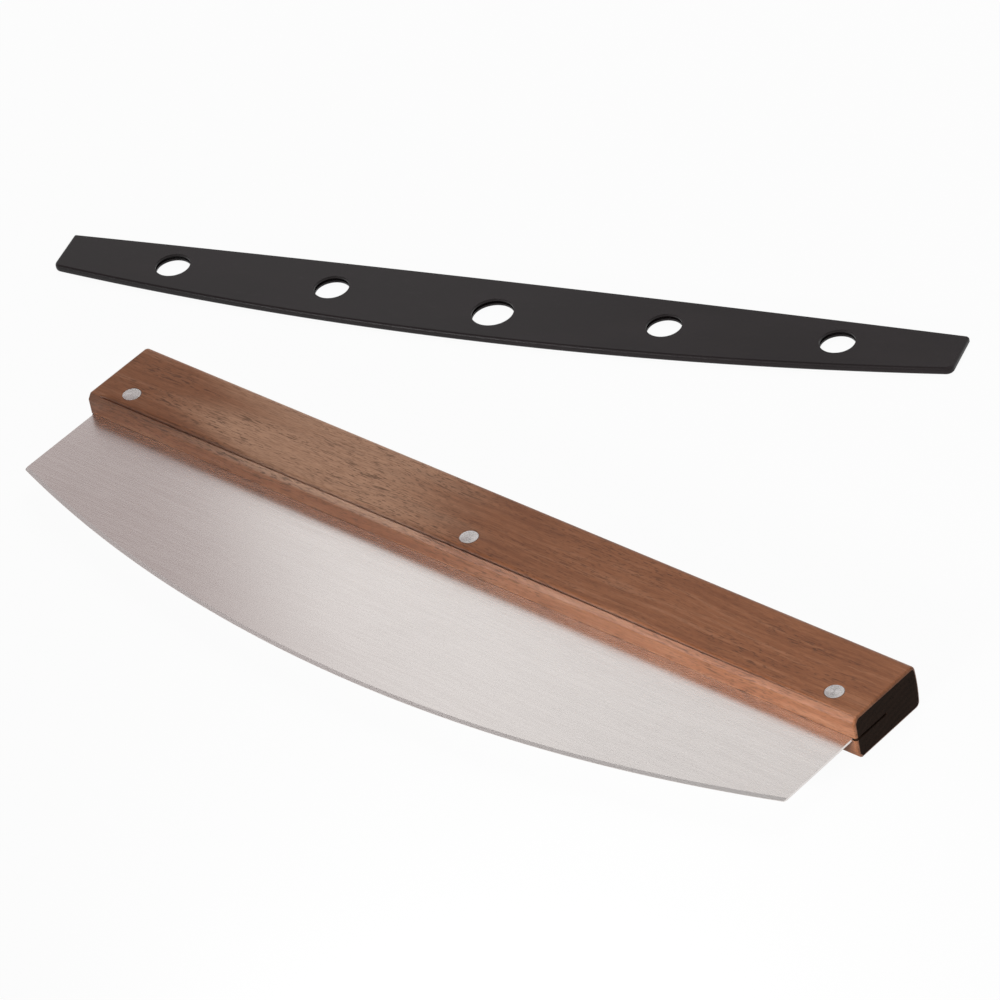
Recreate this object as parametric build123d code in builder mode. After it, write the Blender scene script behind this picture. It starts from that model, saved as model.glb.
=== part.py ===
from build123d import *
import os

# Rocking pizza knife with its blade guard taken off, in millimetres with Z up. The knife lies on its
# handle's lower face with the blade level above the table. X runs along the handle, the cutting edge
# faces -Y, and the origin is on the table under the handle's centre. The guard lies flat behind the
# handle, turned as it was put down.

# Handle block
handle_length = 350.0
handle_width = 33.0
handle_thickness = 17.5
palm_crown = 0.6
palm_radius = 2.4
end_radius = 1.0

# Moulding along both blade-side edges of the handle: a bevel with a quirk groove behind it
bevel_run = 1.7
bevel_drop = 2.05
quirk_inset = 1.5
quirk_depth = 1.3
quirk_wall_run = 0.5
quirk_width = 2.7
quirk_start = 5.0
quirk_full = 9.0
quirk_fade = 215.0
quirk_start_share = 0.3
quirk_end_share = 0.32

# Blade sheet, its cutting arc and the kerf that takes its tang
blade_end_inset = 1.5
blade_thickness = 0.9
blade_end_height = 35.8
blade_sagitta = 27.7
blade_corner_radius = 0.8
grind_width = 1.5
edge_thickness = 0.2
kerf_depth = 15.9
kerf_side_gap = 0.05
kerf_end_gap = 0.1

# Two-part cutlery rivets through handle and tang
rivet_end_inset = 14.6
rivet_setback = 8.4
head_radius = 3.4
head_height = 1.2
head_edge_break = 0.15
sleeve_radius = 2.0
sleeve_bore_radius = 1.3
sleeve_floor = 1.8
sleeve_top_gap = 0.4
pin_tip_gap = 1.6
pin_tip_break = 0.3
blade_hole_gap = 0.1

# Blade guard, drawn with its open side along the X axis
guard_end_gap = 0.6
guard_end_width = 18.8
guard_centre_width = 31.2
guard_open_bow = 1.5
guard_slot_gap = 0.1
guard_wall = 0.95
guard_web = 2.2
guard_end_web = 1.4
guard_corner_radius = 3.0
guard_edge_radius = 1.1
guard_mouth_break = 0.4
guard_hole_break = 0.25
guard_hole_spacing = 65.0
guard_hole_radius = 6.5
guard_middle_hole_radius = 7.75
guard_hole_depth_outer = 10.8
guard_hole_depth_inner = 13.0
guard_hole_depth_middle = 16.6

# Where the guard was put down
guard_place_x = -97.4
guard_place_y = 122.5
guard_turn_angle = 19.1

# Cutters run past the faces they open by this much
cut_margin = 1.0

half_length = handle_length / 2
front_y = -handle_width / 2
quirk_lip = bevel_drop - bevel_drop * quirk_inset / bevel_run
back_y = handle_width / 2
mid_z = handle_thickness / 2
half_blade = half_length - blade_end_inset
kerf_floor_y = front_y + kerf_depth
kerf_width = blade_thickness + kerf_side_gap + kerf_side_gap
blade_end_y = front_y - blade_end_height
blade_edge_y = blade_end_y - blade_sagitta
edge_radius = (half_blade**2 + blade_sagitta**2) / (2 * blade_sagitta)
edge_centre_y = blade_edge_y + edge_radius
rivet_y = front_y + rivet_setback
rivet_spacing = half_length - rivet_end_inset
rivet_points = [(-rivet_spacing, rivet_y), (0, rivet_y), (rivet_spacing, rivet_y)]
rivet_names = ["left", "middle", "right"]
guard_slot = blade_thickness + guard_slot_gap + guard_slot_gap
guard_thickness = guard_wall + guard_slot + guard_wall
guard_half = half_blade + guard_end_gap + guard_end_web

os.makedirs("parts", exist_ok=True)

# Quirk groove along the upper edge, starting short of the left end and fading out to the right
quirk_stations_share = [
    (quirk_start, quirk_start_share),
    (quirk_full, 1.0),
    (quirk_fade, 1.0),
    (handle_length + cut_margin, quirk_end_share),
]
with BuildPart() as quirk:
    for station, share in quirk_stations_share:
        with BuildSketch(Plane.YZ.offset(station - half_length)):
            with BuildLine():
                lip = (front_y + quirk_inset, handle_thickness - quirk_lip)
                root = (lip[0] + quirk_wall_run * share, lip[1] - quirk_depth * share)
                shoulder = (lip[0] + quirk_width * share, handle_thickness)
                Line(lip, root)
                TangentArc(shoulder, root, tangent=(-1, 0))
                riser = Line(shoulder, (shoulder[0], handle_thickness + cut_margin))
                cover = Line(riser @ 1, (lip[0], handle_thickness + cut_margin))
                Line(cover @ 1, lip)
            make_face()
    loft(ruled=True)

# Handle: moulded block with crowned palm side, kerf from the blade side and stepped rivet holes
with BuildPart() as handle:
    with BuildSketch(Plane.YZ.offset(-half_length)):
        with BuildLine():
            front_face = Line((front_y, bevel_drop), (front_y, handle_thickness - bevel_drop))
            upper_bevel = Line(front_face @ 1, (front_y + bevel_run, handle_thickness))
            top_face = Line(upper_bevel @ 1, (back_y - palm_crown, handle_thickness))
            palm = ThreePointArc(top_face @ 1, (back_y, mid_z), (back_y - palm_crown, 0))
            lower_face = Line(palm @ 1, (front_y + bevel_run, 0))
            Line(lower_face @ 1, front_face @ 0)
        make_face()
    extrude(amount=handle_length)
    fillet(handle.edges().filter_by(Axis.X).sort_by(Axis.Y)[-2:], radius=palm_radius)
    fillet(handle.faces().filter_by(Axis.X).edges(), radius=end_radius)
    add(quirk.part, mode=Mode.SUBTRACT)
    add(mirror(quirk.part, about=Plane.XY.offset(mid_z)), mode=Mode.SUBTRACT)
    with Locations((0, front_y, mid_z)):
        Box(handle_length + cut_margin, kerf_depth * 2, kerf_width, mode=Mode.SUBTRACT)
    with BuildSketch():
        with Locations(*rivet_points):
            Circle(sleeve_radius)
    extrude(amount=handle_thickness, mode=Mode.SUBTRACT)
    with BuildSketch():
        with Locations(*rivet_points):
            Circle(head_radius)
    extrude(amount=head_height, mode=Mode.SUBTRACT)
    with BuildSketch(Plane.XY.offset(handle_thickness)):
        with Locations(*rivet_points):
            Circle(head_radius)
    extrude(amount=-head_height, mode=Mode.SUBTRACT)
handle.part.label = "handle"
export_step(handle.part, "parts/handle.step")

# Blade: sheet with square ends, cutting arc ground from both faces and a tang with rivet holes
with BuildPart() as blade:
    with BuildSketch(Plane.XY.offset(mid_z - blade_thickness / 2)) as blade_outline:
        with BuildLine():
            left_end = Line((-half_blade, kerf_floor_y - kerf_end_gap), (-half_blade, blade_end_y))
            cutting_arc = ThreePointArc(left_end @ 1, (0, blade_edge_y), (half_blade, blade_end_y))
            right_end = Line(cutting_arc @ 1, (half_blade, kerf_floor_y - kerf_end_gap))
            Line(right_end @ 1, left_end @ 0)
        make_face()
        fillet(blade_outline.vertices().sort_by(Axis.Y)[:2], radius=blade_corner_radius)
        with Locations(*rivet_points):
            Circle(sleeve_radius + blade_hole_gap, mode=Mode.SUBTRACT)
    extrude(amount=blade_thickness)
    with BuildSketch(Plane.YZ):
        for side in (-1, 1):
            with BuildLine():
                Polyline(
                    (blade_edge_y + grind_width, mid_z + side * blade_thickness / 2),
                    (blade_edge_y, mid_z + side * edge_thickness / 2),
                    (blade_edge_y - cut_margin, mid_z + side * edge_thickness / 2),
                    (blade_edge_y - cut_margin, mid_z + side * blade_thickness),
                    (blade_edge_y + grind_width, mid_z + side * blade_thickness),
                    close=True,
                )
            make_face()
    revolve(axis=Axis((0, edge_centre_y, 0), (0, 0, 1)), mode=Mode.SUBTRACT)
blade.part.label = "blade"
export_step(blade.part, "parts/blade.step")

# Rivets: a sleeve with a blind bore from below and a pin pressed into it from above
sleeve_top = handle_thickness - head_height - sleeve_top_gap
for (rivet_x, row_y), side in zip(rivet_points, rivet_names):
    with BuildPart() as sleeve:
        with BuildSketch():
            with Locations((rivet_x, row_y)):
                Circle(head_radius)
        extrude(amount=head_height)
        chamfer(sleeve.edges().group_by(Axis.Z)[0], length=head_edge_break)
        with BuildSketch():
            with Locations((rivet_x, row_y)):
                Circle(sleeve_radius)
        extrude(amount=sleeve_top)
        with BuildSketch(Plane.XY.offset(sleeve_floor)):
            with Locations((rivet_x, row_y)):
                Circle(sleeve_bore_radius)
        extrude(amount=handle_thickness, mode=Mode.SUBTRACT)
    sleeve.part.label = f"rivet_sleeve_{side}"
    export_step(sleeve.part, f"parts/rivet_sleeve_{side}.step")

    with BuildPart() as pin:
        with BuildSketch(Plane.XY.offset(handle_thickness)):
            with Locations((rivet_x, row_y)):
                Circle(head_radius)
        extrude(amount=-head_height)
        chamfer(pin.edges().group_by(Axis.Z)[-1], length=head_edge_break)
        with BuildSketch(Plane.XY.offset(sleeve_floor + pin_tip_gap)):
            with Locations((rivet_x, row_y)):
                Circle(sleeve_bore_radius)
        extrude(amount=sleeve_top - sleeve_floor - pin_tip_gap + sleeve_top_gap)
        chamfer(pin.edges().group_by(Axis.Z)[0], length=pin_tip_break)
    pin.part.label = f"rivet_pin_{side}"
    export_step(pin.part, f"parts/rivet_pin_{side}.step")

# Blade guard: channel with rounded closed sides, an open side that takes the cutting edge and five holes
outer_hole_x = guard_hole_spacing * 2
guard_hole_points = [
    (-outer_hole_x, -guard_hole_depth_outer),
    (-guard_hole_spacing, -guard_hole_depth_inner),
    (guard_hole_spacing, -guard_hole_depth_inner),
    (outer_hole_x, -guard_hole_depth_outer),
]
with BuildPart() as loose_guard:
    with BuildSketch() as guard_outline:
        with BuildLine():
            open_side = ThreePointArc((-guard_half, 0), (0, guard_open_bow), (guard_half, 0))
            right_side = Line(open_side @ 1, (guard_half, -guard_end_width))
            closed_side = ThreePointArc(
                right_side @ 1, (0, -guard_centre_width), (-guard_half, -guard_end_width)
            )
            Line(closed_side @ 1, open_side @ 0)
        make_face()
        fillet(guard_outline.vertices().sort_by(Axis.Y)[:2], radius=guard_corner_radius)
    extrude(amount=guard_thickness)
    outer_edges = loose_guard.edges().group_by(Axis.Z)[0] + loose_guard.edges().group_by(Axis.Z)[-1]
    fillet(outer_edges.filter_by_position(Axis.Y, -guard_centre_width, -guard_wall), radius=guard_edge_radius)
    with BuildSketch():
        with Locations(*guard_hole_points):
            Circle(guard_hole_radius)
        with Locations((0, -guard_hole_depth_middle)):
            Circle(guard_middle_hole_radius)
    extrude(amount=guard_thickness, mode=Mode.SUBTRACT)
    hole_rims = loose_guard.edges().filter_by(GeomType.CIRCLE)
    hole_rims = hole_rims.filter_by(lambda rim: rim.radius < guard_middle_hole_radius + guard_wall)
    hole_rims = hole_rims.filter_by(lambda rim: rim.radius > guard_hole_radius - guard_wall)
    chamfer(hole_rims, length=guard_hole_break)
    with BuildSketch(Plane.XY.offset(guard_wall)):
        with BuildLine():
            slot_half = guard_half - guard_end_web
            slot_floor = ThreePointArc(
                (-slot_half, -guard_end_width + guard_web),
                (0, -guard_centre_width + guard_web),
                (slot_half, -guard_end_width + guard_web),
            )
            right_wall = Line(slot_floor @ 1, (slot_half, guard_open_bow + cut_margin))
            mouth = Line(right_wall @ 1, (-slot_half, guard_open_bow + cut_margin))
            Line(mouth @ 1, slot_floor @ 0)
        make_face()
    extrude(amount=guard_slot, mode=Mode.SUBTRACT)
    open_side_edges = loose_guard.edges().filter_by_position(Axis.Y, -guard_wall, guard_open_bow + cut_margin)
    long_edges = open_side_edges.filter_by(lambda edge: edge.length > guard_half).group_by(Axis.Z)
    mouth_edges = long_edges[1] + long_edges[2]
    chamfer(mouth_edges, length=guard_mouth_break)

with BuildPart() as blade_guard:
    add(loose_guard.part.moved(Location((guard_place_x, guard_place_y, 0), (0, 0, guard_turn_angle))))
blade_guard.part.label = "blade_guard"
export_step(blade_guard.part, "parts/blade_guard.step")
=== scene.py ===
import logging
import math
from collections.abc import Callable, Sequence
from dataclasses import dataclass, field
from enum import Enum

import bmesh
import bpy
from mathutils import Euler, Matrix, Vector


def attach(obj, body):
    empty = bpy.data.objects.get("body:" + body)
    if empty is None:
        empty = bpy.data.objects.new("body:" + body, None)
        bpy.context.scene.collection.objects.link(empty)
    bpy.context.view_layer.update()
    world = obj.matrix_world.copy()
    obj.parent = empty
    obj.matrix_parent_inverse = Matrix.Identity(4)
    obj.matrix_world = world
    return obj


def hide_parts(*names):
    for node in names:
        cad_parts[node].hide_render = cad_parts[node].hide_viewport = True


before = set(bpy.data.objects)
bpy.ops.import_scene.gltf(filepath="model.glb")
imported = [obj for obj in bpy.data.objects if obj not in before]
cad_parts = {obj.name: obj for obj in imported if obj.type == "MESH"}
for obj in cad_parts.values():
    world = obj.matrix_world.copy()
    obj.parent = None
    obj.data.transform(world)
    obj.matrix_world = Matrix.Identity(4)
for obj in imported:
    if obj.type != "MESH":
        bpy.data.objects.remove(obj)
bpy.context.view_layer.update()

LOG = logging.getLogger("rocking_knife")
MM = 0.001
OVER = MM  # how far a cutter reaches past the surface that it opens
TOUCH = 1e-6  # below this two places are the same

Point = tuple[float, float]
Place = tuple[float, float, float]
Colour = tuple[float, float, float]
Piece = bpy.types.Object
Material = bpy.types.Material
Socket = bpy.types.NodeSocket


class Along(Enum):
    """The axis that a prism is drawn along."""

    LENGTH = "x"
    HEIGHT = "z"

    def place(self, point: Point, reach: float) -> Vector:
        """Puts an outline point at a place along the axis."""
        if self is Along.LENGTH:
            return Vector((reach, point[0], point[1]))
        return Vector((point[0], point[1], reach))


class Side(Enum):
    """The two broad sides of the knife as it lies."""

    UPPER = 1
    LOWER = -1


class Body(Enum):
    """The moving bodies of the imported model."""

    KNIFE = "knife"
    GUARD = "guard"


# Meshes


def new_piece(name: str, mesh: bmesh.types.BMesh) -> Piece:
    """Turns a finished bmesh into an object in the scene.

    Args:
        name: Name of the object and of its mesh.
        mesh: The bmesh, which is freed.

    Returns:
        The new object.
    """
    bmesh.ops.recalc_face_normals(mesh, faces=mesh.faces)
    if mesh.calc_volume(signed=True) < 0:
        bmesh.ops.reverse_faces(mesh, faces=mesh.faces)
    data = bpy.data.meshes.new(name)
    mesh.to_mesh(data)
    mesh.free()
    piece = bpy.data.objects.new(name, data)
    bpy.context.scene.collection.objects.link(piece)
    return piece


def loft(name: str, rings: Sequence[Sequence[Vector]]) -> Piece:
    """Closed solid through rings of equal length, capped at both ends.

    Args:
        name: Name of the object.
        rings: The rings in order, each a closed loop of points.

    Returns:
        The new object.
    """
    mesh = bmesh.new()
    rows = [[mesh.verts.new(point) for point in ring] for ring in rings]
    count = len(rows[0])
    for low, high in zip(rows, rows[1:]):
        for i in range(count):
            j = (i + 1) % count
            mesh.faces.new((low[i], low[j], high[j], high[i]))
    mesh.faces.new(rows[0])
    mesh.faces.new(rows[-1])
    return new_piece(name, mesh)


def prism(name: str, outline: Sequence[Point], low: float, high: float, along: Along) -> Piece:
    """Closed solid between two copies of an outline.

    Args:
        name: Name of the object.
        outline: The outline's points, in the plane across the axis.
        low: Where it starts along the axis.
        high: Where it ends along the axis.
        along: The axis.

    Returns:
        The new object.
    """
    return loft(name, [[along.place(point, reach) for point in outline] for reach in (low, high)])


def lathe(name: str, profile: Sequence[Point], segments: int = 64) -> Piece:
    """Solid of revolution about Z.

    Args:
        name: Name of the object.
        profile: Points of radius and height, from axis to axis.
        segments: How many steps the turn has.

    Returns:
        The new object.
    """
    mesh = bmesh.new()
    rows = []
    for radius, height in profile:
        if radius == 0:
            rows.append([mesh.verts.new((0, 0, height))])
            continue
        turns = [2 * math.pi * i / segments for i in range(segments)]
        rows.append([mesh.verts.new((radius * math.cos(a), radius * math.sin(a), height)) for a in turns])
    for low, high in zip(rows, rows[1:]):
        for i in range(segments):
            j = (i + 1) % segments
            corners = [low[i % len(low)], low[j % len(low)], high[j % len(high)], high[i % len(high)]]
            mesh.faces.new(list(dict.fromkeys(corners)))
    return new_piece(name, mesh)


def round_edges(piece: Piece, radius: float, segments: int, wanted: Callable[[Vector, Vector], bool]) -> None:
    """Rounds the edges of a piece that a test picks.

    Args:
        piece: The piece, changed in place.
        radius: Radius of the rounding.
        segments: How many facets it has.
        wanted: Takes an edge's two ends and says whether it is rounded.
    """
    mesh = bmesh.new()
    mesh.from_mesh(piece.data)
    edges = [edge for edge in mesh.edges if wanted(edge.verts[0].co, edge.verts[1].co)]
    bmesh.ops.bevel(
        mesh, geom=edges, offset=radius, segments=segments, profile=0.5, affect="EDGES", clamp_overlap=False
    )
    mesh.to_mesh(piece.data)
    mesh.free()


def cut_away(piece: Piece, cutters: Sequence[Piece]) -> None:
    """Takes cutters out of a piece and deletes them.

    Args:
        piece: The piece, changed in place.
        cutters: Closed solids.
    """
    for cutter in cutters:
        cut = piece.modifiers.new(cutter.name, "BOOLEAN")
        cut.operation = "DIFFERENCE"
        cut.solver = "EXACT"
        cut.object = cutter
        depsgraph = bpy.context.evaluated_depsgraph_get()
        result = bpy.data.meshes.new_from_object(piece.evaluated_get(depsgraph))
        piece.modifiers.clear()
        piece.data = result
        bpy.data.objects.remove(cutter)


def finish_surface(piece: Piece, crease_degrees: float = 28.0, weld: float = 0.002 * MM) -> None:
    """Shades a piece smooth between creases, with flat faces kept flat.

    Args:
        piece: The piece, changed in place.
        crease_degrees: The angle above which an edge stays sharp.
        weld: Points nearer than this become one.
    """
    mesh = bmesh.new()
    mesh.from_mesh(piece.data)
    bmesh.ops.remove_doubles(mesh, verts=mesh.verts, dist=weld)
    bmesh.ops.dissolve_degenerate(mesh, edges=mesh.edges, dist=weld)
    for face in mesh.faces:
        face.smooth = True
    for edge in mesh.edges:
        edge.smooth = len(edge.link_faces) != 2 or edge.calc_face_angle(0.0) < math.radians(crease_degrees)
    mesh.to_mesh(piece.data)
    mesh.free()
    weights = piece.modifiers.new("flat_faces", "WEIGHTED_NORMAL")
    weights.keep_sharp = True
    weights.weight = 60


def arc(centre: Point, radius: float, start: float, end: float, steps: int) -> list[Point]:
    """Points along a circular arc.

    Args:
        centre: The arc's centre.
        radius: Its radius.
        start: First angle in degrees.
        end: Last angle in degrees.
        steps: How many equal steps it has.

    Returns:
        The points, both ends included.
    """
    angles = [math.radians(start + (end - start) * i / steps) for i in range(steps + 1)]
    return [(centre[0] + radius * math.cos(a), centre[1] + radius * math.sin(a)) for a in angles]


def bow(start: Point, end: Point, sagitta: float, steps: int) -> list[Point]:
    """Points along a shallow arc between two points of equal height.

    Args:
        start: First point.
        end: Last point.
        sagitta: How far the middle stands towards -Y from the line between them.
        steps: How many equal steps it has.

    Returns:
        The points, both ends included.
    """
    half = abs(end[0] - start[0]) / 2
    radius = (half * half + sagitta * sagitta) / (2 * abs(sagitta))
    sweep = math.asin(half / radius) * math.copysign(1, end[0] - start[0])
    flip = math.copysign(1, sagitta)
    middle = (start[0] + end[0]) / 2
    points = []
    for i in range(steps + 1):
        turn = sweep * (2 * i / steps - 1)
        drop = radius * math.cos(turn) - math.sqrt(radius * radius - half * half)
        points.append((middle + radius * math.sin(turn), start[1] - flip * drop))
    return points


def round_corner(before: Point, corner: Point, after: Point, radius: float, steps: int) -> list[Point]:
    """Points of a rounding tangent to the two lines that meet in a corner.

    Args:
        before: A point on the first line.
        corner: Where the lines meet.
        after: A point on the second line.
        radius: Radius of the rounding.
        steps: How many steps it has.

    Returns:
        The points from the first line to the second.
    """
    at = Vector(corner)
    back = (Vector(before) - at).normalized()
    ahead = (Vector(after) - at).normalized()
    half = back.angle(ahead) / 2
    start = at + back * radius / math.tan(half)
    centre = at + (back + ahead).normalized() * radius / math.sin(half)
    spoke = start - centre
    turn = math.pi - 2 * half
    if back.x * ahead.y - back.y * ahead.x > 0:
        turn = -turn
    points = []
    for i in range(steps + 1):
        a = turn * i / steps
        x = spoke.x * math.cos(a) - spoke.y * math.sin(a)
        y = spoke.x * math.sin(a) + spoke.y * math.cos(a)
        points.append((centre.x + x, centre.y + y))
    return points


# Materials


class Value:
    """A shader number. Arithmetic on it adds Math nodes to its material."""

    def __init__(self, shader: "Shader", socket: Socket) -> None:
        """Wraps a socket of a material."""
        self.shader = shader
        self.socket = socket

    def __add__(self, other: "Value | float") -> "Value":
        """Sum."""
        return self.shader.maths("ADD", self, other)

    def __radd__(self, other: float) -> "Value":
        """Sum with a number on the left."""
        return self.shader.maths("ADD", other, self)

    def __sub__(self, other: "Value | float") -> "Value":
        """Difference."""
        return self.shader.maths("SUBTRACT", self, other)

    def __rsub__(self, other: float) -> "Value":
        """Difference with a number on the left."""
        return self.shader.maths("SUBTRACT", other, self)

    def __mul__(self, other: "Value | float") -> "Value":
        """Product."""
        return self.shader.maths("MULTIPLY", self, other)

    def __rmul__(self, other: float) -> "Value":
        """Product with a number on the left."""
        return self.shader.maths("MULTIPLY", other, self)

    def sine(self) -> "Value":
        """Sine of an angle in radians."""
        return self.shader.maths("SINE", self)

    def size(self) -> "Value":
        """Absolute value."""
        return self.shader.maths("ABSOLUTE", self)

    def between(self, low: float, high: float) -> "Value":
        """Smooth mask that is 0 at low and below and 1 at high and above.

        Args:
            low: Where the mask starts.
            high: Where it is full.

        Returns:
            The mask.
        """
        node = self.shader.add(
            "ShaderNodeMapRange",
            {"interpolation_type": "SMOOTHSTEP"},
            {"Value": self, "From Min": low, "From Max": high},
        )
        return Value(self.shader, node.outputs["Result"])


Feed = Value | Socket | float | Sequence[float]


class Shader:
    """One material's node tree, open for adding nodes."""

    def __init__(self, name: str) -> None:
        """Starts a material with its Principled shader.

        Args:
            name: Name of the material.
        """
        self.material = bpy.data.materials.new(name)
        self.material.use_nodes = True
        self.tree = self.material.node_tree
        self.surface = self.tree.nodes["Principled BSDF"]
        self.output = self.tree.nodes["Material Output"]

    def feed(self, socket: Socket, value: Feed) -> None:
        """Links or sets one input socket."""
        if isinstance(value, Value):
            value = value.socket
        if isinstance(value, Socket):
            self.tree.links.new(value, socket)
        else:
            socket.default_value = value

    def add(
        self,
        kind: str,
        settings: dict[str, object] | None = None,
        sockets: dict[str | int, Feed] | None = None,
    ) -> bpy.types.Node:
        """Adds one node.

        Args:
            kind: The node's type.
            settings: Properties to set first. The stops of a ramp are pairs of place and colour.
            sockets: Values or links of its inputs, by name or number.

        Returns:
            The node.
        """
        node = self.tree.nodes.new(kind)
        for name, value in (settings or {}).items():
            if name == "stops":
                ramp = node.color_ramp
                while len(ramp.elements) < len(value):
                    ramp.elements.new(1.0)
                for element, (place, colour) in zip(ramp.elements, value):
                    element.position = place
                    element.color = (*colour, 1.0)
            else:
                setattr(node, name, value)
        for key, value in (sockets or {}).items():
            self.feed(node.inputs[key], value)
        return node

    def maths(self, operation: str, *terms: Value | float) -> Value:
        """Result of one Math node."""
        node = self.add("ShaderNodeMath", {"operation": operation}, dict(enumerate(terms)))
        return Value(self, node.outputs[0])

    def vector(self, operation: str, *terms: Feed) -> Socket:
        """Vector result of one Vector Math node."""
        node = self.add("ShaderNodeVectorMath", {"operation": operation}, dict(enumerate(terms)))
        return node.outputs["Vector"]

    def length_of(self, vector: Feed) -> Value:
        """Length of a vector."""
        node = self.add("ShaderNodeVectorMath", {"operation": "LENGTH"}, {0: vector})
        return Value(self, node.outputs["Value"])

    def place(self) -> Socket:
        """Place on the piece in its own axes, in metres."""
        return self.add("ShaderNodeTexCoord").outputs["Object"]

    def parts(self, vector: Feed) -> list[Value]:
        """The three numbers of a vector."""
        node = self.add("ShaderNodeSeparateXYZ", None, {"Vector": vector})
        return [Value(self, socket) for socket in node.outputs]

    def noise(self, place: Feed, stretch: Sequence[float], detail: float = 2.0, rough: float = 0.5) -> Value:
        """Noise with its own scale along each axis.

        Args:
            place: Where it is read.
            stretch: Lumps per metre along X, Y and Z.
            detail: Octaves.
            rough: How strong the finer octaves are.

        Returns:
            The noise, around one half.
        """
        spot = self.vector("MULTIPLY", place, tuple(stretch))
        node = self.add(
            "ShaderNodeTexNoise",
            {"noise_dimensions": "3D"},
            {"Vector": spot, "Scale": 1.0, "Detail": detail, "Roughness": rough},
        )
        return Value(self, node.outputs["Fac"])

    def mix(self, factor: Feed, first: Feed, second: Feed) -> Socket:
        """Mixes two colours.

        Args:
            factor: Share of the second.
            first: Colour or link.
            second: Colour or link.

        Returns:
            The mixed colour.
        """
        node = self.add("ShaderNodeMix", {"data_type": "RGBA"})
        self.feed(node.inputs["Factor"], factor)
        for name, value in (("A", first), ("B", second)):
            socket = next(s for s in node.inputs if s.name == name and s.type == "RGBA")
            self.feed(socket, (*value, 1.0) if isinstance(value, tuple) else value)
        return next(s for s in node.outputs if s.type == "RGBA")

    def ramp(self, value: Value, stops: Sequence[tuple[float, Colour]]) -> Socket:
        """Colour from a number through a ramp."""
        return self.add("ShaderNodeValToRGB", {"stops": stops}, {"Fac": value}).outputs["Color"]

    def relief(self, height: Value, depth: float, strength: float) -> None:
        """Raises a height as bump on the surface.

        Args:
            height: Height from 0 to 1.
            depth: What a height of 1 stands for, in metres.
            strength: Share of the effect.
        """
        node = self.add("ShaderNodeBump", None, {"Strength": strength, "Distance": depth, "Height": height})
        self.feed(self.surface.inputs["Normal"], node.outputs["Normal"])

    def set(self, **values: Feed) -> None:
        """Sets or links inputs of the Principled shader, with _ for the spaces in their names."""
        for name, value in values.items():
            self.feed(self.surface.inputs[name.replace("_", " ")], value)


@dataclass(frozen=True)
class OiledHardwood:
    """Reddish brown hardwood with fine dark pores under thin oil, greyed over part of its broad faces."""

    deep: Colour = (0.115, 0.041, 0.017)
    middle: Colour = (0.250, 0.104, 0.048)
    pale: Colour = (0.400, 0.210, 0.125)
    red: Colour = (0.200, 0.064, 0.024)
    grey: Colour = (0.480, 0.280, 0.180)
    pore: Colour = (0.055, 0.025, 0.015)
    roughness: float = 0.44
    middle_height: float = 8.75 * MM
    greyed_centre: float = -78 * MM
    greyed_reach: float = 75 * MM
    greyed_core: float = 15 * MM
    specular: float = 0.22
    coat_roughness: float = 0.34
    pore_depth: float = 0.05 * MM

    def material(self) -> Material:
        """Makes the material.

        Returns:
            The finished material.
        """
        shader = Shader("oiled_hardwood")
        place = shader.place()
        along, _, height = shader.parts(place)
        sway = shader.noise(place, (16, 60, 60), detail=1.0) - 0.5
        lean = shader.add("ShaderNodeCombineXYZ", None, {0: 0.0, 1: sway, 2: sway}).outputs[0]
        swayed = shader.vector("ADD", place, shader.vector("MULTIPLY", lean, (0, 0.005, 0.004)))
        broad = shader.noise(swayed, (9, 70, 70), detail=2.0)
        streak = shader.noise(swayed, (26, 560, 560), detail=4.0, rough=0.6)
        fibre = shader.noise(swayed, (240, 2600, 2600), detail=2.0)
        pores = shader.noise(swayed, (330, 2300, 2300), detail=2.0, rough=0.55)
        long_pores = shader.noise(swayed, (120, 1900, 1900), detail=1.0)
        dense = shader.noise(swayed, (14, 110, 110), detail=2.0).between(0.36, 0.62)
        pore_mask = shader.maths("MAXIMUM", pores.between(0.54, 0.66), long_pores.between(0.60, 0.70))
        pore_mask = pore_mask * (0.30 + 0.70 * dense)
        from_centre = (along - self.greyed_centre + (broad - 0.5) * 0.10).size()
        greyed = from_centre.between(self.greyed_reach, self.greyed_core)
        greyed = greyed * (height - self.middle_height).size().between(5.6 * MM, 7.8 * MM)
        colour = shader.ramp(
            streak * 0.60 + broad * 0.40, [(0.33, self.deep), (0.50, self.middle), (0.68, self.pale)]
        )
        colour = shader.mix((1 - greyed) * 0.50, colour, self.red)
        colour = shader.mix(greyed * 0.66, colour, self.grey)
        colour = shader.mix(fibre.between(0.35, 0.75) * 0.35, colour, self.deep)
        colour = shader.mix(pore_mask * 0.70, colour, self.pore)
        facing = Value(shader, shader.add("ShaderNodeLayerWeight", None, {"Blend": 0.5}).outputs["Facing"])
        shader.set(
            Base_Color=colour,
            Roughness=self.roughness + 0.10 * fibre + 0.14 * pore_mask,
            Specular_IOR_Level=self.specular,
            Coat_Weight=facing.between(0.48, 0.80) * 0.30 + 0.15,
            Coat_Roughness=self.coat_roughness,
        )
        shader.relief(fibre * 0.25 + (1 - pore_mask) * 0.75, self.pore_depth, strength=0.5)
        return shader.material


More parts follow.
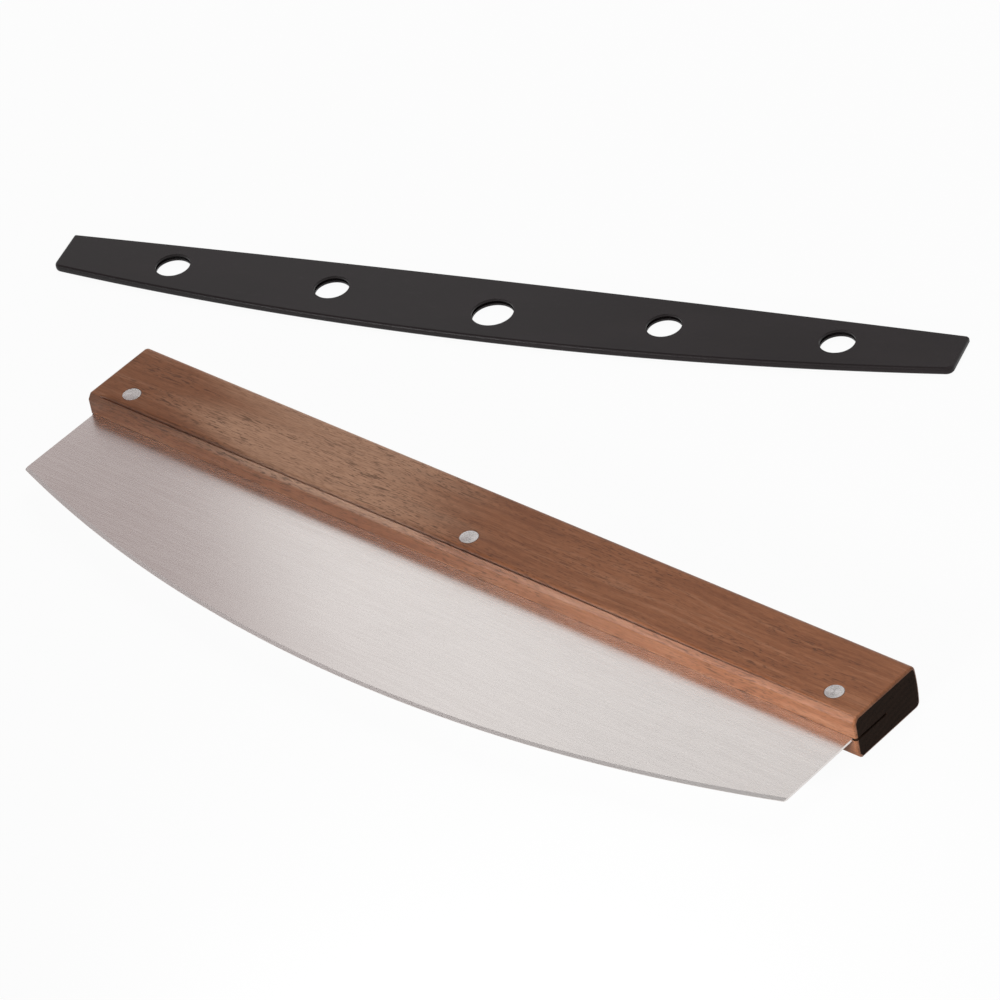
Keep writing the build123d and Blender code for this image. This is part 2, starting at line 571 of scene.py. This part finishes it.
@dataclass(frozen=True)
class EndGrainWithPaintedShade:
    """The same wood cut across, with growth rings and open pores; much darker, partly its own tone and partly
    painted shade for the unlit ends and the kerf walls.
    """

    # Near-black colours: end grain's own darker tone plus painted shade; on the kerf walls the same material is
    # painted shade only.
    ring: Colour = (0.016, 0.0085, 0.005)
    early: Colour = (0.023, 0.012, 0.0075)
    pore: Colour = (0.005, 0.003, 0.002)
    roughness: float = 0.72
    heart: Place = (0.0, 0.012, -0.045)
    ring_pitch: float = 2.6 * MM
    ring_wander: float = 1.6 * MM
    specular: float = 0.06
    pore_depth: float = 0.04 * MM

    def material(self) -> Material:
        """Makes the material.

        Returns:
            The finished material.
        """
        shader = Shader("end_grain_with_painted_shade")
        place = shader.place()
        spoke = shader.vector("MULTIPLY", shader.vector("SUBTRACT", place, self.heart), (0, 1, 1))
        wander = shader.noise(place, (20, 120, 120), detail=2.0) - 0.5
        reach = shader.length_of(spoke) + wander * self.ring_wander
        rings = (reach * (2 * math.pi / self.ring_pitch)).sine() * 0.5 + 0.5
        pores = shader.noise(place, (300, 2600, 2600), detail=2.0).between(0.56, 0.68)
        cloud = shader.noise(place, (60, 160, 160), detail=2.0).between(0.35, 0.7)
        colour = shader.mix(rings * 0.7 + cloud * 0.3, self.ring, self.early)
        colour = shader.mix(pores * 0.8, colour, self.pore)
        shader.set(Base_Color=colour, Roughness=self.roughness + 0.12 * pores, Specular_IOR_Level=self.specular)
        shader.relief(1 - pores, self.pore_depth, strength=0.5)
        return shader.material


@dataclass(frozen=True)
class SatinSteel:
    """Stainless sheet brushed very finely along its length, smooth between the scratches."""

    colour: Colour = (0.780, 0.732, 0.708)
    smooth: float = 0.24
    scratched: float = 0.29
    line_depth: float = 0.0002 * MM

    def material(self) -> Material:
        """Makes the material.

        Returns:
            The finished material.
        """
        shader = Shader("satin_steel")
        place = shader.place()
        scratches = shader.noise(place, (45, 4200, 4200), detail=3.0)
        lines = shader.noise(place, (60, 2600, 2600), detail=3.0, rough=0.6)
        cloud = shader.noise(place, (14, 22, 22), detail=3.0)
        smudge = shader.noise(place, (45, 60, 60), detail=4.0, rough=0.6).between(0.5, 0.8)
        tint = cloud.between(0.3, 0.75) * 0.30 + lines.between(0.3, 0.7) * 0.14
        colour = shader.mix(tint, self.colour, tuple(c * 0.94 for c in self.colour))
        rougher = (self.scratched - self.smooth) * scratches.between(0.42, 0.58) + 0.03 * smudge
        shader.set(Base_Color=colour, Metallic=1.0, Roughness=self.smooth + rougher)
        shader.relief(lines, self.line_depth, strength=0.5)
        return shader.material


@dataclass(frozen=True)
class GroundSteel:
    """The same steel where the edge is ground, with fine scratches across it."""

    colour: Colour = (0.66, 0.63, 0.615)
    roughness: float = 0.40
    scratch_depth: float = 0.006 * MM

    def material(self) -> Material:
        """Makes the material.

        Returns:
            The finished material.
        """
        shader = Shader("ground_steel")
        place = shader.place()
        scratches = shader.noise(place, (5200, 120, 120), detail=3.0, rough=0.65)
        dull = tuple(c * 0.8 for c in self.colour)
        colour = shader.mix(scratches.between(0.35, 0.7) * 0.5, self.colour, dull)
        shader.set(Base_Color=colour, Metallic=1.0, Roughness=self.roughness + 0.12 * scratches)
        shader.relief(scratches, self.scratch_depth, strength=0.6)
        return shader.material


@dataclass(frozen=True)
class TurnedSteel:
    """Rivet steel with the fine rings of a turned face about the piece's own axis."""

    colour: Colour = (0.60, 0.57, 0.56)
    roughness: float = 0.16
    ring_pitch: float = 0.20 * MM
    ring_depth: float = 0.020 * MM
    anisotropy: float = 0.9

    def material(self) -> Material:
        """Makes the material.

        Returns:
            The finished material.
        """
        shader = Shader("turned_steel")
        place = shader.place()
        radius = shader.length_of(shader.vector("MULTIPLY", place, (1, 1, 0)))
        rings = (radius * (2 * math.pi / self.ring_pitch)).sine() * 0.5 + 0.5
        wear = shader.noise(place, (900, 900, 900), detail=3.0)
        dull = tuple(c * 0.86 for c in self.colour)
        shader.set(
            Base_Color=shader.mix(rings * 0.25 + wear.between(0.4, 0.8) * 0.3, self.colour, dull),
            Metallic=1.0,
            Anisotropic=self.anisotropy,
            Roughness=self.roughness + 0.06 * rings + 0.08 * wear,
        )
        shader.relief(rings, self.ring_depth, strength=1.0)
        return shader.material


@dataclass(frozen=True)
class MouldedPlastic:
    """Black moulded plastic with a very fine grain."""

    colour: Colour = (0.0065, 0.0035, 0.0040)
    worn: Colour = (0.014, 0.009, 0.010)
    roughness: float = 0.34
    specular: float = 0.26
    grain_depth: float = 0.012 * MM

    def material(self, turn_degrees: float) -> Material:
        """Makes the material.

        Args:
            turn_degrees: How far the piece's length is turned from X.

        Returns:
            The finished material.
        """
        shader = Shader("moulded_plastic")
        turn = shader.add(
            "ShaderNodeVectorRotate",
            {"rotation_type": "Z_AXIS"},
            {"Vector": shader.place(), "Angle": -math.radians(turn_degrees)},
        )
        place = turn.outputs["Vector"]
        grain = shader.noise(place, (2600, 2600, 2600), detail=2.0)
        flow = shader.noise(place, (25, 60, 60), detail=3.0)
        scuff = shader.noise(place, (180, 420, 420), detail=4.0, rough=0.65).between(0.55, 0.8)
        shader.set(
            Base_Color=shader.mix(flow.between(0.35, 0.7) * 0.4 + scuff * 0.35, self.colour, self.worn),
            Roughness=self.roughness + 0.06 * grain + 0.08 * flow - 0.06 * scuff,
            Specular_IOR_Level=self.specular,
        )
        shader.relief(grain, self.grain_depth, strength=0.5)
        return shader.material


# Pieces


def dress(piece: Piece, materials: Sequence[Material], body: Body, slot: str, *nodes: str) -> None:
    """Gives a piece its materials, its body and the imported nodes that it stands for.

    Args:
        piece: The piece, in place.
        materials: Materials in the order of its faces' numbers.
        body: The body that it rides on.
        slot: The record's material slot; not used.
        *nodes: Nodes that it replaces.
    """
    while len(piece.data.materials) < len(materials):
        piece.data.materials.append(None)
    for number, material in enumerate(materials):
        piece.data.materials[number] = material
    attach(piece, body.value)
    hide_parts(*nodes)


@dataclass
class Handle:
    """Hardwood block with a bevel and a quirk groove along its blade-side edges, a kerf and rivet bores."""

    length: float = 350 * MM
    width: float = 33 * MM
    thickness: float = 17.5 * MM
    crown: float = 0.6 * MM
    palm_radius: float = 2.4 * MM
    end_radius: float = 1.0 * MM
    bevel_run: float = 1.7 * MM
    bevel_drop: float = 2.05 * MM
    quirk_inset: float = 1.5 * MM
    quirk_depth: float = 1.3 * MM
    quirk_wall_run: float = 0.5 * MM
    quirk_width: float = 2.7 * MM
    quirk_stations: tuple[Point, ...] = (
        (5 * MM, 0.30),
        (6.5 * MM, 0.72),
        (9 * MM, 1.0),
        (215 * MM, 1.0),
        (351 * MM, 0.32),
    )
    kerf_depth: float = 15.9 * MM
    kerf_width: float = 1.0 * MM
    rivet_end_inset: float = 14.6 * MM
    rivet_setback: float = 8.4 * MM
    bore_radius: float = 3.42 * MM
    bore_depth: float = 1.2 * MM
    bore_break: float = 0.28 * MM
    shank_radius: float = 2.0 * MM
    quirk_steps: int = 10
    palm_steps: int = 16
    corner_steps: int = 8
    end_steps: int = 5
    piece: Piece | None = None

    @property
    def front(self) -> float:
        """Where the blade-side face is."""
        return -self.width / 2

    @property
    def rivet_places(self) -> tuple[Point, ...]:
        """Where the three rivets stand."""
        reach = self.length / 2 - self.rivet_end_inset
        return tuple((x, self.front + self.rivet_setback) for x in (-reach, 0.0, reach))

    def section(self) -> list[Point]:
        """Outline across the handle.

        Returns:
            Points of Y and Z.
        """
        back = self.width / 2
        top = self.thickness
        palm = bow((0, 0), (top, 0), -self.crown, self.palm_steps)
        palm = [(back - self.crown + p[1], p[0]) for p in palm]
        lower = round_corner((0, 0), palm[0], palm[3], self.palm_radius, self.corner_steps)
        upper = round_corner(palm[-4], palm[-1], (0, top), self.palm_radius, self.corner_steps)
        middle = [p for p in palm if lower[-1][1] < p[1] < upper[0][1]]
        return [
            (self.front, self.bevel_drop),
            (self.front + self.bevel_run, 0.0),
            *lower,
            *middle,
            *upper,
            (self.front + self.bevel_run, top),
            (self.front, top - self.bevel_drop),
        ]

    def quirk_ring(self, station: float, share: float, side: Side) -> list[Vector]:
        """Section of the groove's cutter at one station.

        Args:
            station: Distance from the left end.
            share: Size of the groove there, as a share of its full size.
            side: Which broad side it is cut into.

        Returns:
            Points of the closed section.
        """
        middle = self.thickness / 2
        lip = (
            self.front + self.quirk_inset,
            middle - self.bevel_drop * (1 - self.quirk_inset / self.bevel_run),
        )
        root = (lip[0] + self.quirk_wall_run * share, lip[1] - self.quirk_depth * share)
        shoulder = (lip[0] + self.quirk_width * share, middle)
        run = shoulder[0] - root[0]
        fall = shoulder[1] - root[1]
        radius = (run * run + fall * fall) / (2 * fall)
        sweep = math.degrees(math.asin(run / radius))
        curve = arc((shoulder[0], middle - radius), radius, 90 + sweep, 90, self.quirk_steps)
        points = [lip, *curve, (shoulder[0], middle + OVER), (lip[0], middle + OVER)]
        return [Vector((station - self.length / 2, y, middle + side.value * z)) for y, z in points]

    def build(self) -> None:
        """Builds the block and cuts its kerf, grooves and bores."""
        half = self.length / 2
        block = prism("handle_block", self.section(), -half, half, Along.LENGTH)
        round_edges(block, self.end_radius, self.end_steps, lambda a, b: abs(a.x + b.x) > self.length - TOUCH)
        under, above = (self.thickness - self.kerf_width) / 2, (self.thickness + self.kerf_width) / 2
        mouth, floor = self.front - OVER, self.front + self.kerf_depth
        kerf = [(mouth, under), (floor, under), (floor, above), (mouth, above)]
        cutters = [prism("kerf", kerf, -half - OVER, half + OVER, Along.LENGTH)]
        for side in Side:
            rings = [self.quirk_ring(station, share, side) for station, share in self.quirk_stations]
            cutters.append(loft(f"quirk_{side.name.lower()}", rings))
        soft = self.bore_break
        low = [
            (self.bore_radius + soft, -OVER),
            (self.bore_radius + soft, 0),
            (self.bore_radius + soft * 0.3, soft * 0.5),
            (self.bore_radius, soft * 1.4),
            (self.bore_radius, self.bore_depth),
            (self.shank_radius, self.bore_depth),
        ]
        high = [(r, self.thickness - z) for r, z in reversed(low)]
        bore = [(0, -OVER), *low, *high, (0, self.thickness + OVER)]
        for number, (x, y) in enumerate(self.rivet_places):
            cutter = lathe(f"bore_{number}", bore)
            cutter.location = (x, y, 0)
            cutters.append(cutter)
        bpy.context.view_layer.update()
        cut_away(block, cutters)
        finish_surface(block)
        self.piece = block
        self.mark_end_grain_and_kerf_shade()

    def mark_end_grain_and_kerf_shade(self) -> None:
        """Gives the second material to the flat ends, as dark end grain with painted shade, and to the walls of
        the kerf, as painted shade in the slot.
        """
        facing_end, slack = 0.98, 0.01 * MM
        for face in self.piece.data.polygons:
            flat_end = abs(face.normal.x) > facing_end and abs(face.center.x) > self.length / 2 - slack
            # The kerf walls are side grain; the near-black material there is painted shade in the slot.
            in_kerf = abs(face.center.z - self.thickness / 2) < self.kerf_width / 2 + slack
            face.material_index = 1 if flat_end or in_kerf else 0

    def dress(self, wood: Material, end_grain_with_painted_shade: Material) -> None:
        """Finishes the block in wood, with dark end grain and painted shade on both ends and painted shade on
        the kerf walls.
        """
        dress(self.piece, [wood, end_grain_with_painted_shade], Body.KNIFE, "handle_wood", "handle")


@dataclass
class Blade:
    """Steel sheet with square ends and a cutting arc ground from both faces."""

    length: float = 347 * MM
    thickness: float = 0.9 * MM
    level: float = 8.75 * MM
    tang_edge: float = -0.7 * MM
    end_edge: float = -52.3 * MM
    sagitta: float = 27.7 * MM
    corner_radius: float = 0.8 * MM
    grind_width: float = 1.5 * MM
    edge_thickness: float = 0.2 * MM
    hole_radius: float = 2.1 * MM
    hole_cutter_height: float = 20 * MM
    arc_steps: int = 96
    crease_degrees: float = 8.0
    piece: Piece | None = None

    @property
    def arc_radius(self) -> float:
        """Radius of the cutting arc."""
        half = self.length / 2
        return (half * half + self.sagitta * self.sagitta) / (2 * self.sagitta)

    @property
    def arc_centre(self) -> float:
        """Where the arc's centre lies along Y."""
        return self.end_edge - self.sagitta + self.arc_radius

    def outline(self) -> list[Point]:
        """Outline of the sheet.

        Returns:
            Points of X and Y.
        """
        half = self.length / 2
        edge = bow((-half, self.end_edge), (half, self.end_edge), self.sagitta, self.arc_steps)
        left = round_corner((-half, 0), edge[0], edge[1], self.corner_radius, 6)
        right = round_corner(edge[-2], edge[-1], (half, 0), self.corner_radius, 6)
        inner = [p for p in edge if left[-1][0] < p[0] < right[0][0]]
        return [(-half, self.tang_edge), *left, *inner, *right, (half, self.tang_edge)]

    def half_thickness(self, point: Point) -> float:
        """Half of the sheet's thickness at a point near the edge."""
        reach = math.hypot(point[0], point[1] - self.arc_centre)
        share = (reach - (self.arc_radius - self.grind_width)) / self.grind_width
        return self.thickness / 2 + (self.edge_thickness - self.thickness) / 2 * min(max(share, 0.0), 1.0)

    def build(self, rivet_places: Sequence[Point]) -> None:
        """Builds the sheet with its ground edge and rivet holes.

        Args:
            rivet_places: Where the rivets pass through the tang.
        """
        mesh = bmesh.new()
        outer = self.outline()
        inner_radius = self.arc_radius - self.grind_width
        rows: dict[int, tuple[list[bmesh.types.BMVert], list[bmesh.types.BMVert]]] = {}
        for side in Side:
            flat, rim = [], []
            for x, y in outer:
                limit = self.arc_centre - math.sqrt(inner_radius * inner_radius - x * x)
                flat.append(mesh.verts.new((x, max(y, limit), self.level + side.value * self.thickness / 2)))
                if y < limit:
                    rim.append(mesh.verts.new((x, y, self.level + side.value * self.half_thickness((x, y)))))
                else:
                    rim.append(flat[-1])
            rows[side.value] = (flat, rim)
            mesh.faces.new(flat)
        count = len(outer)
        for i in range(count):
            j = (i + 1) % count
            for flat, rim in rows.values():
                corners = list(dict.fromkeys((flat[i], flat[j], rim[j], rim[i])))
                if len(corners) > 2:
                    mesh.faces.new(corners).material_index = 1
            upper, lower = rows[1][1], rows[-1][1]
            mesh.faces.new((upper[i], upper[j], lower[j], lower[i]))
        blade = new_piece("blade_sheet", mesh)
        holes = []
        radius, top = self.hole_radius, self.hole_cutter_height
        for number, (x, y) in enumerate(rivet_places):
            hole = lathe(f"tang_hole_{number}", [(0, 0), (radius, 0), (radius, top), (0, top)])
            hole.location = (x, y, 0)
            holes.append(hole)
        bpy.context.view_layer.update()
        cut_away(blade, holes)
        finish_surface(blade, self.crease_degrees)
        self.piece = blade

    def dress(self, sheet: Material, ground: Material) -> None:
        """Finishes the sheet and its ground edge."""
        dress(self.piece, [sheet, ground], Body.KNIFE, "blade_steel", "blade")


@dataclass
class Rivet:
    """Two-part rivet: a sleeve with a blind bore from below and a pin pressed into it from above."""

    name: str
    place: Point
    handle_thickness: float = 17.5 * MM
    head_radius: float = 3.4 * MM
    head_height: float = 1.2 * MM
    edge_break: float = 0.15 * MM
    sleeve_radius: float = 2.0 * MM
    bore_radius: float = 1.3 * MM
    bore_floor: float = 1.8 * MM
    sleeve_top_gap: float = 0.4 * MM
    tip_gap: float = 1.6 * MM
    tip_break: float = 0.3 * MM
    segments: int = 72
    pieces: dict[Side, Piece] = field(default_factory=dict)

    def build(self) -> None:
        """Turns the sleeve and the pin and stands them in their bore."""
        head, low, top = self.head_radius, self.head_height, self.handle_thickness
        sleeve_top = top - self.head_height - self.sleeve_top_gap
        soft = self.edge_break
        sleeve = [
            (0, 0),
            (head - soft, 0),
            (head - soft * 0.3, soft * 0.3),
            (head, soft),
            (head, low),
            (self.sleeve_radius, low),
            (self.sleeve_radius, sleeve_top),
            (self.bore_radius, sleeve_top),
            (self.bore_radius, self.bore_floor),
            (0, self.bore_floor),
        ]
        tip = self.bore_floor + self.tip_gap
        pin = [
            (0, tip),
            (self.bore_radius - self.tip_break, tip),
            (self.bore_radius, tip + self.tip_break),
            (self.bore_radius, top - low),
            (head, top - low),
            (head, top - soft),
            (head - soft * 0.3, top - soft * 0.3),
            (head - soft, top),
            (0, top),
        ]
        for side, kind, profile in ((Side.LOWER, "sleeve", sleeve), (Side.UPPER, "pin", pin)):
            piece = lathe(f"{kind}_{self.name}", profile, self.segments)
            piece.location = (*self.place, 0)
            finish_surface(piece)
            self.pieces[side] = piece

    def dress(self, steel: Material) -> None:
        """Finishes both halves in turned steel."""
        for side, kind in ((Side.LOWER, "sleeve"), (Side.UPPER, "pin")):
            dress(self.pieces[side], [steel], Body.KNIFE, "rivet_steel", f"rivet_{kind}_{self.name}")


@dataclass
class Guard:
    """Plastic channel with rounded closed sides, an open side for the cutting edge and five round holes."""

    length: float = 351 * MM
    end_width: float = 18.8 * MM
    centre_width: float = 31.2 * MM
    open_bow: float = 1.5 * MM
    thickness: float = 3.0 * MM
    slot: float = 1.1 * MM
    web: float = 2.2 * MM
    end_web: float = 1.4 * MM
    corner_radius: float = 3.0 * MM
    edge_radius: float = 1.1 * MM
    mouth_break: float = 0.4 * MM
    hole_break: float = 0.25 * MM
    holes: tuple[Place, ...] = (
        (-130 * MM, -10.8 * MM, 6.5 * MM),
        (-65 * MM, -13.0 * MM, 6.5 * MM),
        (0.0, -16.6 * MM, 7.75 * MM),
        (65 * MM, -13.0 * MM, 6.5 * MM),
        (130 * MM, -10.8 * MM, 6.5 * MM),
    )
    place: Point = (-97.4 * MM, 122.5 * MM)
    turn_degrees: float = 19.1
    closed_steps: int = 72
    open_steps: int = 48
    corner_steps: int = 8
    edge_steps: int = 6
    hole_segments: int = 96
    piece: Piece | None = None

    def outline(self) -> list[Point]:
        """Outline seen from above, with the open side along X.

        Returns:
            Points of X and Y.
        """
        half = self.length / 2
        depth = -self.end_width
        closed = bow((-half, depth), (half, depth), self.centre_width - self.end_width, self.closed_steps)
        left = round_corner((-half, 0), closed[0], closed[1], self.corner_radius, self.corner_steps)
        right = round_corner(closed[-2], closed[-1], (half, 0), self.corner_radius, self.corner_steps)
        inner = [p for p in closed if left[-1][0] < p[0] < right[0][0]]
        open_side = bow((half, 0), (-half, 0), -self.open_bow, self.open_steps)
        return [*left, *inner, *right, *open_side]

    def slot_solid(self) -> Piece:
        """Cutter for the slot.

        Returns:
            The cutter.
        """
        half = self.length / 2 - self.end_web
        depth = -self.end_width + self.web
        floor = bow((-half, depth), (half, depth), self.centre_width - self.end_width, self.closed_steps)
        mouth = [(x, y + OVER) for x, y in bow((half, 0), (-half, 0), -self.open_bow, self.open_steps)]
        low, high = (self.thickness - self.slot) / 2, (self.thickness + self.slot) / 2
        return prism("slot", [*floor, *mouth], low, high, Along.HEIGHT)

    def mouth_solid(self) -> Piece:
        """Cutter for the flare along the slot's mouth.

        Returns:
            The cutter.
        """
        half = self.length / 2 - self.end_web
        low, high = (self.thickness - self.slot) / 2, (self.thickness + self.slot) / 2
        reach = self.mouth_break
        corners = [(-reach, low), (-reach, high), (reach, high + 2 * reach), (reach, low - 2 * reach)]
        mouth = bow((-half, 0), (half, 0), -self.open_bow, self.open_steps)
        return loft("mouth", [[Vector((x, y + out, z)) for out, z in corners] for x, y in mouth])

    def build(self) -> None:
        """Builds the channel and cuts its slot and holes, then puts it down."""
        guard = prism("guard_channel", self.outline(), 0.0, self.thickness, Along.HEIGHT)
        closed_from = -0.5 * MM
        round_edges(
            guard,
            self.edge_radius,
            self.edge_steps,
            lambda a, b: abs(a.z - b.z) < TOUCH and min(a.y, b.y) < closed_from,
        )
        cutters = [self.slot_solid(), self.mouth_solid()]
        top, soft = self.thickness, self.hole_break
        for number, (x, y, radius) in enumerate(self.holes):
            rounding = [math.radians(a) for a in (0, 30, 60, 90)]
            lower = [(radius + soft * (1 - math.sin(a)), soft * (1 - math.cos(a))) for a in rounding]
            upper = [(r, top - z) for r, z in reversed(lower)]
            under, above = -OVER, top + OVER
            profile = [(0, under), (radius + soft, under), *lower, *upper, (radius + soft, above), (0, above)]
            cutter = lathe(f"hole_{number}", profile, self.hole_segments)
            cutter.location = (x, y, 0)
            cutters.append(cutter)
        bpy.context.view_layer.update()
        cut_away(guard, cutters)
        finish_surface(guard)
        turn = Matrix.Rotation(math.radians(self.turn_degrees), 4, "Z")
        guard.data.transform(Matrix.Translation((*self.place, 0)) @ turn)
        self.piece = guard

    def dress(self, plastic: Material) -> None:
        """Finishes the channel in plastic."""
        dress(self.piece, [plastic], Body.GUARD, "guard_plastic", "blade_guard")


# Studio


@dataclass
class Softbox:
    """A soft rectangular lamp aimed at a point."""

    name: str
    place: Place
    target: Place
    size: Point
    watts: float
    spread_degrees: float = 180.0

    def build(self) -> None:
        """Hangs the lamp, which itself isn't seen in gloss."""
        lamp = bpy.data.lights.new(self.name, "AREA")
        lamp.shape = "RECTANGLE"
        lamp.size, lamp.size_y = self.size
        lamp.energy = self.watts
        lamp.spread = math.radians(self.spread_degrees)
        holder = bpy.data.objects.new(self.name, lamp)
        holder.visible_glossy = False
        holder.location = self.place
        holder.rotation_euler = (Vector(self.target) - Vector(self.place)).to_track_quat("-Z", "Y").to_euler()
        bpy.context.scene.collection.objects.link(holder)


@dataclass
class Flag:
    """A card that is only seen in gloss, where it stands out darker or brighter than the surroundings."""

    name: str
    place: Place
    target: Place
    size: Point
    glow: Colour
    thickness: float = 10 * MM

    def build(self) -> None:
        """Stands the card."""
        wide, high = self.size[0] / 2, self.size[1] / 2
        corners = [(-wide, -high), (wide, -high), (wide, high), (-wide, high)]
        piece = prism(self.name, corners, 0.0, self.thickness, Along.HEIGHT)
        piece.location = self.place
        piece.rotation_euler = (Vector(self.target) - Vector(self.place)).to_track_quat("Z", "Y").to_euler()
        piece.visible_camera = False
        piece.visible_diffuse = False
        piece.visible_shadow = False
        shader = Shader(f"{self.name}_card")
        shader.set(Base_Color=(0.0, 0.0, 0.0, 1.0), Specular_IOR_Level=0.0)
        shader.set(Emission_Color=(*self.glow, 1.0), Emission_Strength=1.0)
        piece.data.materials.append(shader.material)


@dataclass
class Studio:
    """Pale floor, white surroundings, soft lamps, cards that are seen in gloss only, and the camera."""

    floor_reach: float = 3.0
    floor_thickness: float = 20 * MM
    floor_colour: Colour = (0.55, 0.55, 0.55)
    backdrop_share: float = 0.955
    ambient: float = 0.20
    camera_place: Place = (1.375651, -1.241598, 1.446030)
    camera_turn_degrees: Place = (52.01329, 8.81821, 40.89475)
    lens: float = 247.006
    sensor: float = 36.0
    lamps: tuple[Softbox, ...] = (
        Softbox("back_softbox", (-0.45, 1.32, 1.32), (-0.02, 0.03, 0.0), (1.3, 1.3), 28.0),
        Softbox("front_softbox", (0.19, -0.32, 0.12), (0.16, -0.0165, 0.012), (0.12, 0.05), 0.68, 115.0),
    )
    flags: tuple[Flag, ...] = (
        Flag("left_card", (-0.445, -0.131, 0.397), (-0.211, -0.342, 0.151), (0.60, 0.54), (0.46, 0.40, 0.40)),
        Flag("right_card", (-0.288, 0.484, 0.348), (0.063, 0.167, -0.021), (0.20, 0.13), (0.30, 0.28, 0.28)),
        Flag("upper_card", (-0.18, 0.14, 0.66), (0.0, 0.0, 0.0), (0.36, 0.36), (0.02, 0.02, 0.02)),
        Flag("bevel_card", (-0.17, -0.40, 0.23), (0.10, -0.0165, 0.016), (0.20, 0.10), (15.0, 15.0, 15.0)),
    )

    @staticmethod
    def seen(tree: bpy.types.NodeTree) -> Socket:
        """Link that is 1 for rays that show the background: straight, mirrored or through glass.

        Args:
            tree: The node tree it is made in.

        Returns:
            The link.
        """
        rays = tree.nodes.new("ShaderNodeLightPath")
        total = rays.outputs["Is Camera Ray"]
        for kind in ("Is Glossy Ray", "Is Transmission Ray"):
            either = tree.nodes.new("ShaderNodeMath")
            either.operation = "MAXIMUM"
            tree.links.new(total, either.inputs[0])
            tree.links.new(rays.outputs[kind], either.inputs[1])
            total = either.outputs[0]
        return total

    def floor(self) -> None:
        """Lays the floor, which shows near white with the object's shadow on it."""
        reach = self.floor_reach
        corners = [(-reach, -reach), (reach, -reach), (reach, reach), (-reach, reach)]
        piece = prism("floor", corners, -self.floor_thickness, 0.0, Along.HEIGHT)
        shader = Shader("pale_floor")
        shader.set(Base_Color=(*self.floor_colour, 1.0), Roughness=0.9, Specular_IOR_Level=0.0)
        glow = shader.add("ShaderNodeEmission", None, {"Color": (1, 1, 1, 1), "Strength": 1.0})
        share = Value(shader, self.seen(shader.tree)) * self.backdrop_share
        surfaces = {0: share, 1: shader.surface.outputs[0], 2: glow.outputs[0]}
        blend = shader.add("ShaderNodeMixShader", None, surfaces)
        shader.feed(shader.output.inputs["Surface"], blend.outputs[0])
        piece.data.materials.append(shader.material)

    def surroundings(self) -> None:
        """Sets the world: plain ambient light, white where it is seen."""
        world = bpy.data.worlds.new("studio")
        world.use_nodes = True
        tree = world.node_tree
        ambient = tree.nodes["Background"]
        white = tree.nodes.new("ShaderNodeBackground")
        for background, strength in ((ambient, self.ambient), (white, 1.0)):
            background.inputs["Color"].default_value = (1, 1, 1, 1)
            background.inputs["Strength"].default_value = strength
        blend = tree.nodes.new("ShaderNodeMixShader")
        tree.links.new(self.seen(tree), blend.inputs[0])
        tree.links.new(ambient.outputs[0], blend.inputs[1])
        tree.links.new(white.outputs[0], blend.inputs[2])
        tree.links.new(blend.outputs[0], tree.nodes["World Output"].inputs["Surface"])
        bpy.context.scene.world = world

    def camera(self) -> None:
        """Stands the camera at the photograph's viewing angle."""
        data = bpy.data.cameras.new("camera")
        data.lens = self.lens
        data.sensor_width = self.sensor
        data.clip_start, data.clip_end = 0.1, 50.0
        holder = bpy.data.objects.new("camera", data)
        holder.location = self.camera_place
        holder.rotation_euler = Euler([math.radians(a) for a in self.camera_turn_degrees], "XYZ")
        bpy.context.scene.collection.objects.link(holder)
        bpy.context.scene.camera = holder

    def build(self) -> None:
        """Sets up the whole studio."""
        self.floor()
        for flag in self.flags:
            flag.build()
        self.surroundings()
        self.camera()
        for lamp in self.lamps:
            lamp.build()
        bpy.context.scene.view_settings.view_transform = "Standard"


def main() -> None:
    """Builds and dresses every piece, then the studio."""
    logging.basicConfig(level=logging.INFO, format="%(name)s: %(message)s")
    handle = Handle()
    handle.build()
    # The second material is dark end grain with painted shade on the ends and painted shade in the kerf.
    handle.dress(OiledHardwood().material(), EndGrainWithPaintedShade().material())
    LOG.info("handle: %d faces", len(handle.piece.data.polygons))
    blade = Blade()
    blade.build(handle.rivet_places)
    blade.dress(SatinSteel().material(), GroundSteel().material())
    LOG.info("blade: %d faces", len(blade.piece.data.polygons))
    steel = TurnedSteel().material()
    for name, place in zip(("left", "middle", "right"), handle.rivet_places):
        rivet = Rivet(name, place)
        rivet.build()
        rivet.dress(steel)
        LOG.info("rivet %s: two halves", name)
    guard = Guard()
    guard.build()
    guard.dress(MouldedPlastic().material(guard.turn_degrees))
    LOG.info("guard: %d faces", len(guard.piece.data.polygons))
    Studio().build()


if __name__ == "__main__":
    main()
